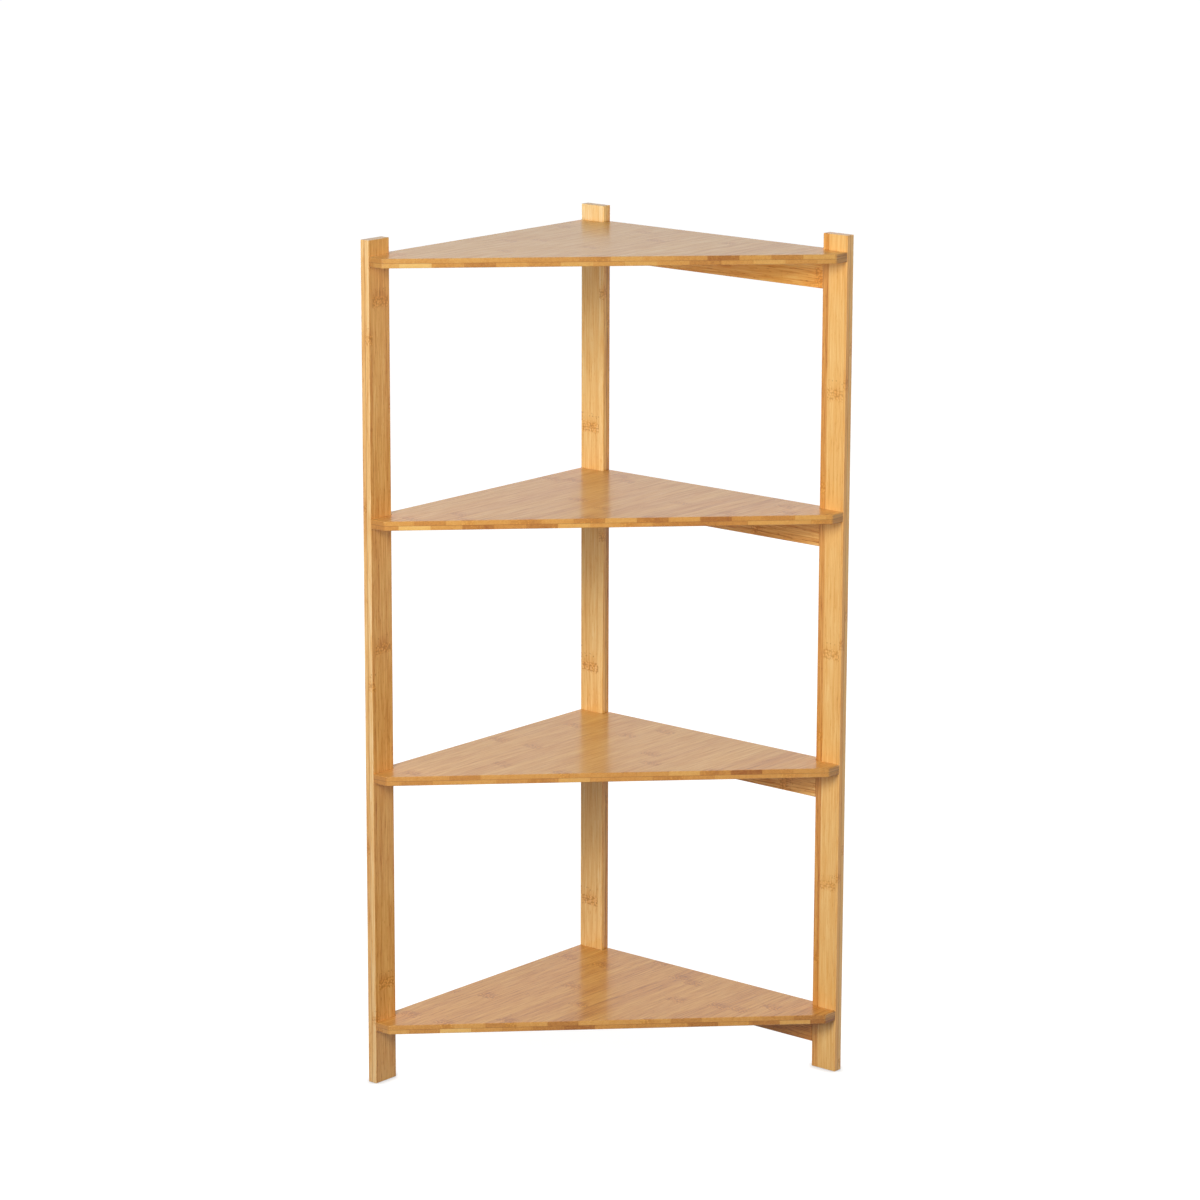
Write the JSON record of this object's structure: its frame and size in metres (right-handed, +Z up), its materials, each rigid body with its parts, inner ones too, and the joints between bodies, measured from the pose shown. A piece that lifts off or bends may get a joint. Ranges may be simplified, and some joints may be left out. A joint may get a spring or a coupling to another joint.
{
  "type": "corner shelf unit",
  "caption": "Free-standing corner shelf unit in bamboo board: notched triangular shelves with a straight front edge, screwed to flat posts and resting on dowelled rails.",
  "frame": {"origin": "on the floor at the centre of the unit's square footprint, under the middle of the shelves' front edges", "axes": "+Z up; +Y towards the right-hand wall, where the back post, right post and rails stand; -X towards the left-hand wall; the open front faces +X and -Y"},
  "size_m": [0.345, 0.345, 0.87],
  "materials": {
    "bamboo_stock": "clear satin lacquer on flat-pressed bamboo",
    "bamboo_panel": "clear satin lacquer on two-ply flat-pressed bamboo board",
    "dowel_wood": "bare turned hardwood",
    "zinc_steel": "zinc-plated"
  },
  "bodies": {
    "root": {"back_post": "bamboo_stock", "right_post": "bamboo_stock", "left_post": "bamboo_stock", "bottom_rail": "bamboo_stock", "lower_rail": "bamboo_stock", "upper_rail": "bamboo_stock", "top_rail": "bamboo_stock", "bottom_shelf": "bamboo_panel", "lower_shelf": "bamboo_panel", "upper_shelf": "bamboo_panel", "top_shelf": "bamboo_panel", "bottom_shelf_back_screw_inner": "zinc_steel", "bottom_shelf_back_screw_outer": "zinc_steel", "bottom_shelf_right_screw_inner": "zinc_steel", "bottom_shelf_right_screw_outer": "zinc_steel", "bottom_shelf_left_screw_inner": "zinc_steel", "bottom_shelf_left_screw_outer": "zinc_steel", "lower_shelf_back_screw_inner": "zinc_steel", "lower_shelf_back_screw_outer": "zinc_steel", "lower_shelf_right_screw_inner": "zinc_steel", "lower_shelf_right_screw_outer": "zinc_steel", "lower_shelf_left_screw_inner": "zinc_steel", "lower_shelf_left_screw_outer": "zinc_steel", "upper_shelf_back_screw_inner": "zinc_steel", "upper_shelf_back_screw_outer": "zinc_steel", "upper_shelf_right_screw_inner": "zinc_steel", "upper_shelf_right_screw_outer": "zinc_steel", "upper_shelf_left_screw_inner": "zinc_steel", "upper_shelf_left_screw_outer": "zinc_steel", "top_shelf_back_screw_inner": "zinc_steel", "top_shelf_back_screw_outer": "zinc_steel", "top_shelf_right_screw_inner": "zinc_steel", "top_shelf_right_screw_outer": "zinc_steel", "top_shelf_left_screw_inner": "zinc_steel", "top_shelf_left_screw_outer": "zinc_steel", "bottom_rail_back_dowel_upper": "dowel_wood", "bottom_rail_back_dowel_lower": "dowel_wood", "bottom_rail_right_dowel_upper": "dowel_wood", "bottom_rail_right_dowel_lower": "dowel_wood", "lower_rail_back_dowel_upper": "dowel_wood", "lower_rail_back_dowel_lower": "dowel_wood", "lower_rail_right_dowel_upper": "dowel_wood", "lower_rail_right_dowel_lower": "dowel_wood", "upper_rail_back_dowel_upper": "dowel_wood", "upper_rail_back_dowel_lower": "dowel_wood", "upper_rail_right_dowel_upper": "dowel_wood", "upper_rail_right_dowel_lower": "dowel_wood", "top_rail_back_dowel_upper": "dowel_wood", "top_rail_back_dowel_lower": "dowel_wood", "top_rail_right_dowel_upper": "dowel_wood", "top_rail_right_dowel_lower": "dowel_wood"}
  },
  "joints": []
}
